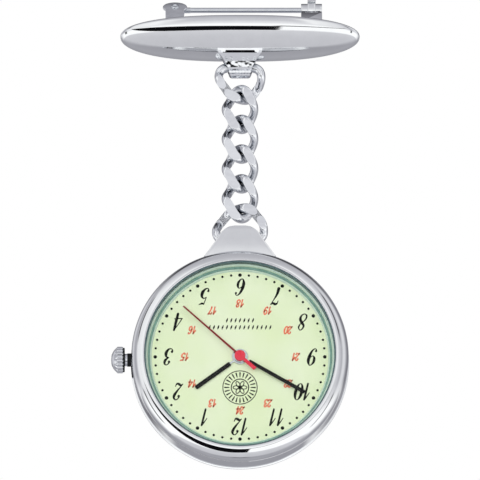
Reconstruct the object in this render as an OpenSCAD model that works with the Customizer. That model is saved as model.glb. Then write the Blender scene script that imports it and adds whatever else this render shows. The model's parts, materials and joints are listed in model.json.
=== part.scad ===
// Nurse's fob watch: a brooch bar with a hinged needle and a safety catch, a curb chain
// of six links, and a quartz watch that hangs upside-down so that its wearer can read it.
// +Z is up, +X is to the right and -Y is towards the reader. The origin is on the
// needle's axis, midway along the bar. Millimetres.

/* [Brooch bar] */
// Length of the bar from tip to tip
bar_length = 36.7; // [34:0.2:40]
// Height of the bar at its middle
bar_height = 8.1; // [7.6:0.1:8.6]
// How far the bar's face bulges
bar_bulge = 2.3; // [2:0.1:2.6]
// Wall of the bar's pressed face
bar_wall = 0.7; // [0.5:0.1:0.9]
// Angle by which the bar's face tips down as it hangs from its needle
bar_pitch = 49; // [44:0.5:50]
// Depth of the bar's back below the needle's axis
needle_stand = 5.1; // [4.9:0.1:5.5]
// Height of the needle above the bar's middle line
needle_rise = 1.6; // [1.4:0.1:1.8]

/* [Needle and catch] */
// Radius of the needle
needle_r = 0.4; // [0.35:0.01:0.42]
// Distance of the hinge to the left of the origin
hinge_x = 10; // [9:0.1:11]
// Distance of the catch's near face to the right of the origin
catch_x = 9.4; // [9:0.1:10]
// Length of the catch
catch_length = 3.2; // [2.8:0.1:3.6]
// Radius of the hinge's round ears
ear_r = 1.84; // [1.7:0.02:2]
// Radius of the hinge's rivet
rivet_r = 0.45; // [0.4:0.01:0.5]

/* [Chain] */
// Radius of the links' wire
wire_r = 0.75; // [0.7:0.01:0.8]
// Slack between two linked wires
link_slack = 0.06; // [0.05:0.01:0.1]
// Half width of a curb link, on its wire's centre
curb_half_w = 2; // [1.9:0.02:2.1]
// Half length of a curb link, on its wire's centre
curb_half_l = 3.15; // [3:0.05:3.3]
// Half width of the wide first link
first_half_w = 3.05; // [3:0.01:3.2]
// Half width of the wide last link
last_half_w = 3.53; // [3.4:0.01:3.6]
// Half length of the first and the last link
end_half_l = 2.6; // [2.5:0.05:2.7]
// Turn of a curb link's two ends away from its middle
link_twist = 45; // [40:1:50]
// Height of the first link's wire in the bail
bail_z = -9.1; // [-9.3:0.1:-8.9]

/* [Watch case] */
// Outer radius of the case
case_r = 16.5; // [16.3:0.1:16.8]
// Radius of the opening that the crystal fills
opening_r = 14.6; // [14.58:0.01:14.64]
// Height of the last link's wire above the case's centre
lug_rise = 18.7; // [18.6:0.05:18.9]
// Distance of the chain's line in front of the case's middle plane
hang_front = 0.02; // [0:0.01:0.3]
// Half width of the lug at its top
lug_top_w = 2.5; // [2.3:0.05:2.7]
// Half width of the lug at its base
lug_base_w = 5.7; // [5.4:0.1:6]
// Radius of the crown's head
crown_r = 2.02; // [1.9:0.02:2.1]
// Travel of the crown from pushed in to pulled out
crown_pull = 0.6; // [0.5:0.05:0.6]

/* [Dial and hands] */
// Radius of the dial
dial_r = 14.25; // [14:0.05:14.3]
// Time shown by the hour hand, in degrees after 12
hour_angle = 53.8; // [0:0.1:360]
// Time shown by the minute hand, in degrees after 12
minute_angle = 300; // [0:1:360]
// Time shown by the second hand, in degrees after 12
second_angle = 132; // [0:1:360]
// Length of the hour hand
hour_length = 8.6; // [8:0.1:9]
// Length of the minute hand
minute_length = 11.5; // [11:0.1:12]
// Length of the second hand
second_length = 11.6; // [11:0.1:12.4]

/* [Movement] */
// Radius of the main plate
plate_r = 12; // [11.8:0.1:12]
// Radius of the button cell
cell_r = 3.4; // [3.2:0.1:3.4]
// Radius of every arbor
arbor_r = 0.14; // [0.12:0.01:0.15]

/* [Hidden] */
$fn = 48;
far = 60;               // longer than any part, for cutting
fit = 0.02;             // gap between pieces that are pressed or glued together
run = 0.05;             // gap round a part that turns

// Brooch: the bar's cross-section is a circle whose centre lies behind the bar's back
bar_back_y = -needle_stand;
bar_half_h = bar_height / 2;
bar_circle_r = (bar_half_h * bar_half_h + bar_bulge * bar_bulge) / (2 * bar_bulge);
bar_circle_depth = bar_circle_r - bar_bulge;
bar_half_l = bar_length / 2;
bar_tip_h = 0.5;
ear_t = 0.4;
eye_t = 1;
eye_r = 1.35;
ear_gap = eye_t / 2 + run;
ear_top = ear_gap + ear_t;
sleeve_bore_r = 0.62;
sleeve_r = 1;
cheek_r = 1.65;
cheek_t = 0.9;
slot_w = 1.04;
foot_t = 0.55;
foot_w = 3.4;
foot_z = -needle_rise - 0.7;

// Chain: each link hangs on the wire of the link above it
crossing = 2 * wire_r + link_slack;
first_z = bail_z - end_half_l;
curb_pitch = 2 * curb_half_l - crossing;
second_z = first_z - end_half_l + crossing - curb_half_l;
last_z = second_z - 3 * curb_pitch - curb_half_l + crossing - end_half_l;
link_rings = 32;
link_sides = 10;

// Watch: the case's own frame has +z towards the reader and +y up
case_z = last_z - end_half_l - lug_rise;
wall_r = 14.45;
spigot_r = 15.3;
wall_back = -2.4;
wall_front = 2;
spigot_top = 2.95;
crystal_back = 3.1;
crystal_edge = 4.25;
crystal_top = 4.65;
crystal_r = 14.3;
back_face = -3.9;
back_inner = -2.9;
lip_top = -1.7;
lug_bore_r = 1.05;
lug_core_r = 1.95;
lug_core_w = 1.8;
lug_plate_back = 1.5;
lug_plate_front = 2.3;
lug_top_y = lug_rise + 2.7;
stem_r = 0.3;
tube_r = 0.95;
tube_end = 18.6;
head_start = 17.7;
head_end = 19.6;

// Movement: wheel centres and levels, from the front of the plate to the bridge
plate_back = 0.5;
plate_front = 1.45;
recess_z = 0.95;
bridge_front = -1.55;
bridge_back = -1.95;
third_at = [-2.9, 0.9];
fifth_at = [1.9, 2.55];
rotor_at = [3.4, 4.3];
minute_at = [-1, -2.45];
cell_at = [5.6, -4.6];
coil_y = 8.2;
coil_z = -0.45;
screws_at = [[-4.6, 4.2], [-2.6, -3.4], [4.6, 1.6]];
lever_at = [-9.6, -2.4];
dial_back = 1.5;
dial_front = 1.9;
hour_z = 2.1;
minute_z = 2.4;
second_z_level = 2.7;
hand_t = 0.12;

module brooch_frame() { rotate([bar_pitch, 0, 0]) children(); }
module case_frame() { translate([0, hang_front, case_z]) rotate([90, 0, 0]) children(); }
module along_x(x) { translate([x, 0, 0]) rotate([0, 90, 0]) children(); }
module at(p, z = 0) { translate([p[0], p[1], z]) children(); }

// A tube from z0 to z1
module ring(r_out, r_in, z0, z1) {
    translate([0, 0, z0]) difference() {
        cylinder(r = r_out, h = z1 - z0);
        translate([0, 0, -1]) cylinder(r = r_in, h = z1 - z0 + 2);
    }
}

module disc(r, z0, z1) { translate([0, 0, z0]) cylinder(r = r, h = z1 - z0); }

// A toothed disc, whose tips are at r
module gear(r, teeth, z0, z1, depth = 0.14) {
    step = 360 / teeth;
    tips = [for (i = [0:teeth - 1], k = [0:3])
        let (a = (i + [0, 0.18, 0.42, 0.76][k]) * step, q = k == 1 || k == 2 ? r : r - depth)
        [q * cos(a), q * sin(a)]];
    translate([0, 0, z0]) linear_extrude(z1 - z0) polygon(tips);
}

// ---- Brooch ----

// Half height of the bar's back at the share t of its half length: full, with blunt tips
function bar_half_at(t) = max(bar_tip_h, bar_half_h * pow(1 - pow(abs(t), 2.5), 1 / 2.2));

// Radius of the bar's bulging body there, about an axis that lies behind its back
function bulk_r(t) = sqrt(pow(bar_half_at(t), 2) + pow(bar_circle_depth, 2));

// The bulging body, pulled in by inset on every side
module bar_bulk(inset) {
    steps = 15;
    end = bar_half_l - inset;
    stations = [for (k = [-steps:steps]) sin(90 * k / steps)];
    rotate([0, 90, 0]) rotate_extrude($fn = 180) polygon(concat([[0, -end]],
        [for (t = stations) [bulk_r(t) - inset, end * t]], [[0, end]]));
}

module bar_solid(inset, y0, y1) {
    translate([0, 0, -needle_rise]) intersection() {
        translate([0, bar_back_y + bar_circle_depth, 0]) bar_bulk(inset);
        translate([-far, y0, -far]) cube([2 * far, y1 - y0, 2 * far]);
    }
}

module bar() {
    color("silver") brooch_frame() difference() {
        bar_solid(0, -far, bar_back_y);
        bar_solid(bar_wall, -far, bar_back_y + 1);
    }
}

module bar_back() {
    color("gainsboro") brooch_frame()
        bar_solid(bar_wall + fit, bar_back_y - 0.5, bar_back_y);
}

// The bail is a cast loop under the bar, whose bore runs along X
module bail() {
    head_top = -6;
    head_w = 3.6;
    loop_w = 2.1;
    wall_depth = 1.68;
    bail_bore_r = 1.08;
    side = concat([for (a = [180:15:360]) wall_depth * [cos(a), sin(a)] + [0, bail_z]],
        [[1.8, head_top], [-2.95, head_top]]);
    front = concat([for (a = [180:15:360]) loop_w * [cos(a), sin(a)] + [0, bail_z + 0.35]],
        [[loop_w, -8.3], [head_w, -7.4], [head_w, head_top], [-head_w, head_top],
         [-head_w, -7.4], [-loop_w, -8.3]]);
    color("silver") difference() {
        intersection() {
            rotate([90, 0, 90]) linear_extrude(2 * far, center = true) polygon(side);
            rotate([90, 0, 0]) linear_extrude(2 * far, center = true) polygon(front);
        }
        translate([-far, 0, bail_z]) rotate([0, 90, 0]) cylinder(r = bail_bore_r, h = 2 * far);
        brooch_frame() bar_solid(-fit, -far, bar_back_y);
        brooch_frame() translate([-far, bar_back_y - 0.1, -needle_rise - bar_half_h + 0.6])
            cube([2 * far, far, far]);
    }
}

module hinge_bracket() {
    web_depth = -1.75;
    color("lightgray") brooch_frame() translate([-hinge_x, 0, 0]) difference() {
        union() {
            translate([-2.3, bar_back_y, foot_z]) cube([4.6, foot_t, foot_w]);
            translate([-1.5, bar_back_y, -ear_top]) cube([3, -bar_back_y, 2 * ear_top]);
            disc(ear_r, -ear_top, ear_top);
        }
        translate([-far, web_depth, -ear_gap]) cube([2 * far, far, 2 * ear_gap]);
        disc(rivet_r + fit, -far, far);
    }
}

module hinge_rivet() {
    head_r = 0.78;
    head_t = 0.22;
    color("darkgray") brooch_frame() translate([-hinge_x, 0, 0]) {
        disc(rivet_r, -ear_top - head_t, ear_top + head_t);
        disc(head_r, ear_top, ear_top + head_t);
        disc(head_r, -ear_top - head_t, -ear_top);
    }
}

// The needle's root is square in section; its round part starts clear of the hinge's ears
module needle() {
    taper_x = catch_x - 0.1;
    tip_x = catch_x + catch_length - 0.1;
    root_x = -hinge_x + 0.6;
    root_l = 1.8;
    root_h = needle_r + 0.05;
    color("lightsteelblue") brooch_frame() difference() {
        union() {
            translate([-hinge_x, 0, 0]) disc(eye_r, -eye_t / 2, eye_t / 2);
            translate([root_x, -root_h, -root_h]) cube([root_l, 2 * root_h, 2 * root_h]);
            along_x(root_x) cylinder(r = needle_r, h = taper_x - root_x);
            along_x(taper_x) cylinder(r1 = needle_r, r2 = 0.08, h = tip_x - taper_x);
        }
        translate([-hinge_x, 0, 0]) disc(rivet_r + run, -far, far);
    }
}

// Two split rings on one foot, open to the back
module catch_base() {
    color("lightgray") brooch_frame() translate([catch_x, 0, 0]) difference() {
        union() {
            translate([0, bar_back_y, foot_z]) cube([catch_length, foot_t, foot_w]);
            for (x = [0, catch_length - cheek_t]) {
                along_x(x) cylinder(r = cheek_r, h = cheek_t);
                translate([x, bar_back_y, -1.25]) cube([cheek_t, -bar_back_y, 2.5]);
            }
            translate([0, bar_back_y, -1.25]) cube([catch_length, 2.6, 2.5]);
        }
        along_x(-1) cylinder(r = sleeve_r + run, h = catch_length + 2);
        translate([-1, 0, -slot_w / 2]) cube([catch_length + 2, far, slot_w]);
        translate([-far, 1.62, -far]) cube([2 * far, far, 2 * far]);
    }
}

// The sleeve turns to close the slot; its thumb tab stands between the split rings
module catch_collar() {
    tab_x = cheek_t + 0.08;
    tab_w = catch_length - 2 * tab_x;
    color("silver") brooch_frame() translate([catch_x, 0, 0]) difference() {
        union() {
            along_x(0) cylinder(r = sleeve_r, h = catch_length);
            along_x(tab_x) cylinder(r = 1.5, h = tab_w);
            translate([tab_x, -0.35, 1]) cube([tab_w, 0.7, 1.3]);
        }
        along_x(-1) cylinder(r = sleeve_bore_r, h = catch_length + 2);
        translate([-1, 0, -slot_w / 2]) cube([catch_length + 2, far, slot_w]);
    }
}

// ---- Chain ----

function power(v, e) = sign(v) * pow(abs(v), e);
function clamp1(v) = max(-1, min(1, v));
function unit(v) = v / norm(v);

// A curb link's flat outline: round ends, with limbs that bulge a little
function curb_outline(t) = let (a = curb_half_w, s = sin(t))
    [a * cos(t), a * s + (curb_half_l - a) * clamp1(2 * s)];

// An end link's outline: one end is square enough to lie in a bore
function end_outline(t, half_w, square_top) =
    let (e = 2 / ((sin(t) > 0) == square_top ? 4 : 2.3))
    [half_w * power(cos(t), e), end_half_l * power(sin(t), e)];

// An outline's point is turned about Z by the link's twist at that height
function turned(p, a) = [p[0] * cos(a), p[0] * sin(a), p[1]];
function twist_at(z, half_l, top, bottom) =
    let (k = sin(90 * clamp1(z / (half_l - 0.9)))) (top + bottom) / 2 + (top - bottom) / 2 * k;

// One closed tube round a link's outline
module link_tube(outline, half_l, top, bottom) {
    n = len(outline);
    m = link_sides;
    path = [for (p = outline) turned(p, twist_at(p[1], half_l, top, bottom))];
    points = [for (i = [0:n - 1]) let (
            along = unit(path[(i + 1) % n] - path[(i + n - 1) % n]),
            a = twist_at(outline[i][1], half_l, top, bottom),
            flat = [-sin(a), cos(a), 0],
            u = unit(flat - (flat * along) * along),
            w = cross(along, u))
        for (j = [0:m - 1]) path[i] + wire_r * (u * cos(360 * j / m) + w * sin(360 * j / m))];
    faces = [for (i = [0:n - 1], j = [0:m - 1], half = [0, 1]) let (
            a = i * m + j, b = i * m + (j + 1) % m,
            c = ((i + 1) % n) * m + (j + 1) % m, d = ((i + 1) % n) * m + j)
        half == 0 ? [a, b, c] : [a, c, d]];
    polyhedron(points = points, faces = faces);
}

module curb_link(z) {
    outline = [for (i = [0:link_rings - 1]) curb_outline(360 * i / link_rings)];
    color("silver") translate([0, 0, z])
        link_tube(outline, curb_half_l, -link_twist, link_twist);
}

module end_link(z, half_w, square_top, top, bottom) {
    outline = [for (i = [0:link_rings - 1])
        end_outline(360 * (i + 0.5) / link_rings, half_w, square_top)];
    color("silver") translate([0, 0, z]) link_tube(outline, end_half_l, top, bottom);
}

module link_1() { end_link(first_z, first_half_w, true, 0, link_twist); }
module link_2() { curb_link(second_z); }
module link_3() { curb_link(second_z - curb_pitch); }
module link_4() { curb_link(second_z - 2 * curb_pitch); }
module link_5() { curb_link(second_z - 3 * curb_pitch); }
module link_6() { end_link(last_z, last_half_w, false, -link_twist, 0); }

// ---- Watch case ----

// Half of the lug's front outline narrows in a curve from the base to a round top
function lug_half(s) = lug_top_w + (lug_base_w - lug_top_w) * pow(1 - s, 1.25);

module lug_outline() {
    base_y = 15.4;
    side_top = lug_top_y - 0.9;
    right = [for (s = [0:0.125:1]) [lug_half(s), base_y + (side_top - base_y) * s]];
    top = [for (a = [15:15:165]) [lug_top_w * cos(a), side_top + 0.9 * sin(a)]];
    left = [for (s = [1:-0.125:0]) [-lug_half(s), base_y + (side_top - base_y) * s]];
    polygon(concat(right, top, left));
}

module case_body() {
    color("silver") case_frame() difference() {
        union() {
            rotate_extrude() polygon([[wall_r, wall_back], [16, wall_back], [16.3, -2.25],
                [case_r, -1.8], [case_r, wall_front], [spigot_r, wall_front],
                [spigot_r, spigot_top], [wall_r, spigot_top]]);
            difference() {
                union() {
                    translate([0, 0, lug_plate_back])
                        linear_extrude(lug_plate_front - lug_plate_back) lug_outline();
                    translate([-lug_core_w, 15, hang_front - lug_core_r])
                        cube([2 * lug_core_w, lug_rise - 15, lug_core_r + lug_plate_back]);
                    translate([-lug_core_w, lug_rise, hang_front]) rotate([0, 90, 0])
                        cylinder(r = lug_core_r, h = 2 * lug_core_w);
                }
                disc(case_r - 0.6, -far, far);
                ring(case_r + 0.01, 1, wall_front, far);
            }
        }
        translate([-far, lug_rise, hang_front]) rotate([0, 90, 0])
            cylinder(r = lug_bore_r, h = 2 * far);
        along_x(-far) cylinder(r = tube_r + fit, h = far);
    }
}

module bezel() {
    shoulder = [for (a = [0:15:90]) [15 + 1.5 * cos(a), 2.75 + 1.6 * sin(a)]];
    color("silver") case_frame() rotate_extrude() polygon(concat(
        [[spigot_r + fit, wall_front + fit], [case_r, wall_front + fit]], shoulder,
        [[opening_r + fit, 4.2], [opening_r + fit, spigot_top + fit],
         [spigot_r + fit, spigot_top + fit]]));
}

module crystal() {
    dome = [for (k = [0:8]) [crystal_r * k / 8,
        crystal_edge + (crystal_top - crystal_edge) * (1 - pow(k / 8, 2))]];
    color("aliceblue", 0.3) case_frame() rotate_extrude()
        polygon(concat([[0, crystal_back]], dome, [[crystal_r, crystal_back]]));
}

module crystal_gasket() {
    color("dimgray") case_frame() ring(opening_r, crystal_r + fit, crystal_back, 4.1);
}

// The sloping ring between the dial and the crystal
module rehaut() {
    color("mediumaquamarine") case_frame() rotate_extrude() polygon([
        [wall_r - fit, dial_front + fit], [wall_r - fit, crystal_back - fit],
        [14.2, crystal_back - fit], [13.85, dial_front + fit]]);
}

module case_back() {
    color("lightgray") case_frame() rotate_extrude() polygon([
        [0, back_face], [14.2, back_face], [15, -3.75], [15.6, -3.35], [15.7, back_inner],
        [14.4, back_inner], [14.4, lip_top], [13.7, lip_top], [13.7, back_inner],
        [0, back_inner]]);
}

module back_gasket() {
    color("dimgray") case_frame() ring(15.3, 14.7, back_inner + fit, wall_back - fit);
}

// ---- Crown ----

module crown_tube() {
    color("gainsboro") case_frame() along_x(-tube_end)
        ring(tube_r, stem_r + 0.1, 0, tube_end - 14.55);
}

module crown() {
    flutes = 20;
    flute_r = 0.17;
    bore_end = 18.9;
    color("silver") case_frame() difference() {
        along_x(-head_end) rotate_extrude() polygon([[0, 0], [1.1, 0.12], [1.7, 0.45],
            [crown_r, 0.95], [crown_r, head_end - head_start - 0.15],
            [crown_r - 0.15, head_end - head_start], [0, head_end - head_start]]);
        along_x(-bore_end) cylinder(r = 1.35, h = far);
        for (i = [0:flutes - 1]) rotate([360 / flutes * i, 0, 0])
            translate([0, 0, crown_r + 0.06]) along_x(-head_end - 1)
                cylinder(r = flute_r, h = 4, $fn = 16);
    }
}

module crown_gasket() {
    color("dimgray") case_frame() along_x(-18.05) rotate_extrude()
        translate([1.15, 0]) circle(r = 0.18);
}

module stem() {
    groove_r = 0.16;
    color("darkgray") case_frame() {
        along_x(-18.9) cylinder(r = stem_r, h = 8);
        along_x(-10.9) cylinder(r = groove_r, h = crown_pull + 0.2);
        along_x(-10.1) cylinder(r = stem_r, h = 3.4);
    }
}

module clutch_wheel() {
    color("goldenrod") case_frame() along_x(-8.5) difference() {
        gear(0.9, 14, 0, 1.2, 0.16);
        disc(stem_r + fit, -1, 3);
    }
}

// Its pin stands in the stem's groove, so that it turns when the crown is pulled
module setting_lever() {
    arm = 2.4;
    color("darkkhaki") case_frame() at(lever_at, -0.75) {
        cylinder(r = 0.55, h = 0.3);
        translate([-1.15, 0, 0]) cube([0.6, arm, 0.3]);
        translate([-1.3, -0.25, 0]) cube([1.3, 0.5, 0.3]);
        translate([-0.9, arm, 0]) cylinder(r = 0.12, h = 0.5, $fn = 24);
    }
}

// ---- Movement ----

module movement_ring() {
    color("whitesmoke") case_frame() difference() {
        ring(wall_r - 0.1, plate_r + 0.12, -1.6, plate_front);
        along_x(-far) cylinder(r = tube_r + 0.1, h = far);
    }
}

module main_plate() {
    color("khaki") case_frame() difference() {
        union() {
            disc(plate_r, plate_back, plate_front);
            for (p = screws_at) at(p) disc(0.8, bridge_front, plate_back + 0.1);
        }
        disc(2.3, recess_z, far);
        at(minute_at) disc(2.15, recess_z, far);
        disc(0.65, -far, far);
        for (p = [third_at, fifth_at, rotor_at]) at(p) disc(arbor_r + run, -1, 0.85);
        at(minute_at) disc(arbor_r + run, -far, far);
        translate([-8.7 - crown_pull, -1.1, -1]) cube([1.9 + crown_pull, 2.2, 2.1]);
        for (p = screws_at) at(p) disc(0.32, -far, -0.3);
    }
}

module train_bridge() {
    color("khaki") case_frame() difference() {
        translate([-0.6, 0.9, bridge_back]) cylinder(r = 6, h = bridge_front - bridge_back);
        at(cell_at) disc(cell_r + 0.3, -far, far);
        for (p = [[0, 0], third_at, fifth_at, rotor_at]) at(p) disc(arbor_r + run, -far, far);
        for (p = screws_at) at(p) disc(0.34, -far, far);
    }
}

module bridge_screws() {
    color("silver") case_frame() for (p = screws_at) at(p) difference() {
        union() {
            disc(0.3, bridge_back - 0.1, -0.4);
            disc(0.6, bridge_back - 0.3, bridge_back);
        }
        translate([-1, -0.09, bridge_back - 0.5]) cube([2, 0.18, 0.33]);
    }
}

module stator() {
    pole = [[-6.8, 7.75], [-6.8, 8.65], [-5.6, 8.65], [-5.3, 7.2], [2.4, 5.8], [5.3, 7.2],
        [5.6, 8.65], [6.8, 8.65], [6.8, 7.75], [5, 4.2], [3.4, 2.7], [2.3, 3.6], [1.5, 4.8],
        [-5, 6.4]];
    color("darkgray") case_frame() difference() {
        translate([0, 0, coil_z + 0.17]) linear_extrude(0.2) polygon(pole);
        at(rotor_at) disc(0.85, -far, far);
    }
}

module coil_core() {
    color("slategray") case_frame() translate([-6.8, coil_y - 0.45, coil_z - 0.15])
        cube([13.6, 0.9, 0.3]);
}

module coil_winding() {
    color("chocolate") case_frame() difference() {
        translate([0, coil_y, coil_z]) along_x(-5) cylinder(r = 0.85, h = 10);
        translate([-far, coil_y - 0.45 - fit, coil_z - 0.15 - fit])
            cube([2 * far, 0.9 + 2 * fit, 0.3 + 2 * fit]);
    }
}

// A wheel and its pinion on one arbor
module wheel(r, teeth, z, pinion_r, pinion_z0, pinion_z1, z0, z1) {
    disc(arbor_r, z0, z1);
    gear(r, teeth, z, z + 0.15);
    gear(pinion_r, 10, pinion_z0, pinion_z1, 0.1);
}

module rotor() {
    color("dimgray") case_frame() at(rotor_at) {
        disc(arbor_r, -1.62, 0.75);
        disc(0.65, -0.45, 0.1);
        gear(0.4, 8, -1.5, -1.15, 0.1);
    }
}

module fifth_wheel() {
    color("goldenrod") case_frame() at(fifth_at)
        wheel(1.8, 30, -1.4, 0.5, -1.05, -0.7, -1.62, 0.75);
}

module fourth_wheel() {
    color("goldenrod") case_frame()
        wheel(2.6, 40, -0.95, 0.45, -0.45, -0.1, -1.62, second_z_level + hand_t / 2);
}

module third_wheel() {
    color("goldenrod") case_frame() at(third_at)
        wheel(2.5, 40, -0.35, 0.48, 0.05, 0.45, -1.62, 0.75);
}

// The centre wheel carries the tube that holds the minute hand
module centre_wheel() {
    color("goldenrod") case_frame() difference() {
        union() {
            gear(2.45, 40, 0.15, 0.35);
            gear(0.66, 12, 1, 1.14, 0.1);
            disc(0.5, 0.15, minute_z + hand_t / 2);
        }
        disc(arbor_r + run, -far, far);
    }
}

module minute_wheel() {
    color("goldenrod") case_frame() at(minute_at) {
        disc(arbor_r, 0.6, 1.42);
        gear(1.9, 30, 1, 1.13);
        gear(0.48, 8, 1.2, 1.38, 0.1);
    }
}

module hour_wheel() {
    color("goldenrod") case_frame() difference() {
        union() {
            gear(2.08, 32, 1.2, 1.34);
            disc(0.8, 1.2, hour_z + hand_t / 2);
        }
        disc(0.5 + run, -far, far);
    }
}

module dial_washer() {
    color("gold") case_frame() ring(1.8, 0.8 + run, 1.4, 1.45);
}

module circuit_board() {
    color("darkgreen") case_frame() intersection() {
        disc(plate_r - 0.4, -0.9, -0.6);
        translate([-9.5, -11, -1]) cube([10.6, 6.4, 1]);
    }
}

module quartz_can() {
    color("silver") case_frame() translate([-5.8, -8, -1.66]) along_x(0)
        cylinder(r = 0.75, h = 5.2);
}

module control_chip() {
    color("black") case_frame() translate([-6.9, -6.5, -1.45]) cube([1.8, 1.6, 0.54]);
}

module battery() {
    color("silver") case_frame() at(cell_at) {
        disc(cell_r, -2.1, 0.1);
        disc(cell_r - 0.6, 0.1, 0.48);
    }
}

module battery_clamp() {
    color("darkgray") case_frame() difference() {
        at(cell_at, -2.35) translate([-0.9, -5, 0]) cube([1.8, 8.6, 0.22]);
        at([cell_at[0], cell_at[1] + 2.9]) disc(0.35, -far, far);
    }
}

// ---- Dial and hands ----

module dial() {
    color("honeydew") case_frame() ring(dial_r, 1, dial_back, dial_front);
}

// Hands point to 12, which is down, and turn clockwise to their time
module set_to(angle, z) { case_frame() translate([0, 0, z]) rotate([0, 0, -angle]) children(); }

module baton(hub_r, bore_r, length, width) {
    difference() {
        union() {
            cylinder(r = hub_r, h = hand_t);
            translate([-width / 2, -length, 0]) cube([width, length - bore_r - 0.1, hand_t]);
        }
        translate([0, 0, -1]) cylinder(r = bore_r, h = 2);
    }
}

module hour_hand() { color("black") set_to(hour_angle, hour_z) baton(1.2, 0.8 + fit, hour_length, 0.7); }

module minute_hand() {
    color("black") set_to(minute_angle, minute_z) baton(0.95, 0.5 + fit, minute_length, 0.65);
}

module second_hand() {
    tail = 3.1;
    color("crimson") set_to(second_angle, second_z_level) difference() {
        union() {
            cylinder(r = 0.82, h = 0.2);
            linear_extrude(hand_t) polygon([[-0.2, -0.5], [-0.07, -second_length],
                [0.07, -second_length], [0.2, -0.5]]);
            translate([-0.32, 0.5, 0]) cube([0.64, tail - 0.5, hand_t]);
        }
        translate([0, 0, -1]) cylinder(r = arbor_r + fit, h = 1 + hand_t / 2 + fit);
    }
}

bar();
bar_back();
bail();
hinge_bracket();
hinge_rivet();
needle();
catch_base();
catch_collar();
link_1();
link_2();
link_3();
link_4();
link_5();
link_6();
case_body();
bezel();
crystal();
crystal_gasket();
rehaut();
case_back();
back_gasket();
crown_tube();
crown();
crown_gasket();
stem();
clutch_wheel();
setting_lever();
movement_ring();
main_plate();
train_bridge();
bridge_screws();
stator();
coil_core();
coil_winding();
rotor();
fifth_wheel();
fourth_wheel();
third_wheel();
centre_wheel();
minute_wheel();
hour_wheel();
dial_washer();
circuit_board();
quartz_can();
control_chip();
battery();
battery_clamp();
dial();
hour_hand();
minute_hand();
second_hand();
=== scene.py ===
import json
from math import atan2, copysign, cos, degrees, hypot, pi, radians, sin, sqrt, tan, tanh

import bmesh
import bpy
from mathutils import Matrix, Vector


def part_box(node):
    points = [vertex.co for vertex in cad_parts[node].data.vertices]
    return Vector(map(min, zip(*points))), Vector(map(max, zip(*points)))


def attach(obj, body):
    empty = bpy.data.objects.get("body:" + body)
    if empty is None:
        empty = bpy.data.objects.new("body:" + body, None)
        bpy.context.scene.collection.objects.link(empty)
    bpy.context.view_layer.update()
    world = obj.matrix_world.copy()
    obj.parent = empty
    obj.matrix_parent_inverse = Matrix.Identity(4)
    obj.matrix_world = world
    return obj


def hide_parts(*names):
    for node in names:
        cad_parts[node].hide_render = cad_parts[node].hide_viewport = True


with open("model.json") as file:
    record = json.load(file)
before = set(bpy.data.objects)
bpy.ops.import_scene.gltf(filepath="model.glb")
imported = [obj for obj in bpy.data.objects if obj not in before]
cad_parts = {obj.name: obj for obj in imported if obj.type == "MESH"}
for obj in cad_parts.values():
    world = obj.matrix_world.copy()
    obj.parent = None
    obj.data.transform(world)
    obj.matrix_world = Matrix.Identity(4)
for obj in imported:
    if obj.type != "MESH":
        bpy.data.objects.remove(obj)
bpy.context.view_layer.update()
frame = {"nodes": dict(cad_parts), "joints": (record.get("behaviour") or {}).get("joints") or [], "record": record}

# ---- Places, in millimetres, from the frame ----

MM = 0.001
joints = {j["name"]: j for j in frame["joints"]}


def pivot(name):
    """Where a joint is, in millimetres."""
    return Vector(joints[name]["pos_m"]) / MM


needle_axis = joints["needle_hinge"]["axis"]
BROOCH = Matrix.Rotation(atan2(-needle_axis[1], needle_axis[2]), 4, "X")
CASE = Matrix.Translation(pivot("hour_turn")) @ Matrix.Rotation(pi / 2, 4, "X")
hinge_x = pivot("needle_hinge").x
bail_z = pivot("link_1_swing").z
lug_rise = pivot("watch_swing").z - pivot("hour_turn").z
hang_front = pivot("hour_turn").y

# ---- Mesh helpers: outlines in millimetres, loops and revolved shapes ----


def turned(x, y, degrees_on):
    """A point turned about the origin."""
    a = radians(degrees_on)
    return x * cos(a) - y * sin(a), x * sin(a) + y * cos(a)


def arc(cx, cy, r, start, end, steps):
    """Points on an arc, angles in degrees."""
    return [(cx + r * cos(radians(start + (end - start) * k / steps)),
             cy + r * sin(radians(start + (end - start) * k / steps))) for k in range(steps + 1)]


def fillet(corners, steps=5):
    """A closed outline from corners (x, y, radius), each rounded by an arc."""
    out = []
    for i, (x, y, r) in enumerate(corners):
        here = Vector((x, y))
        before = Vector(corners[i - 1][:2]) - here
        after = Vector(corners[(i + 1) % len(corners)][:2]) - here
        if r <= 0:
            out.append((x, y))
            continue
        half = before.angle(after) / 2
        cut = min(r / tan(half), 0.48 * before.length, 0.48 * after.length)
        centre = here + (before.normalized() + after.normalized()).normalized() * cut / cos(half)
        first = here + before.normalized() * cut - centre
        last = here + after.normalized() * cut - centre
        a = atan2(first.y, first.x)
        turn = (atan2(last.y, last.x) - a + pi) % (2 * pi) - pi
        out += [(centre.x + first.length * cos(a + turn * k / steps),
                 centre.y + first.length * sin(a + turn * k / steps)) for k in range(steps + 1)]
    return out


def inset(outline, d):
    """A counter-clockwise outline pulled inwards by d."""
    out = []
    for i, p in enumerate(outline):
        here, before, after = Vector(p), Vector(outline[i - 1]), Vector(outline[(i + 1) % len(outline)])
        e1, e2 = (here - before).normalized(), (after - here).normalized()
        n1, n2 = Vector((-e1.y, e1.x)), Vector((-e2.y, e2.x))
        out.append(tuple(here + (n1 + n2) * d / max(0.3, 1 + n1.dot(n2))))
    return out


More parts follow.
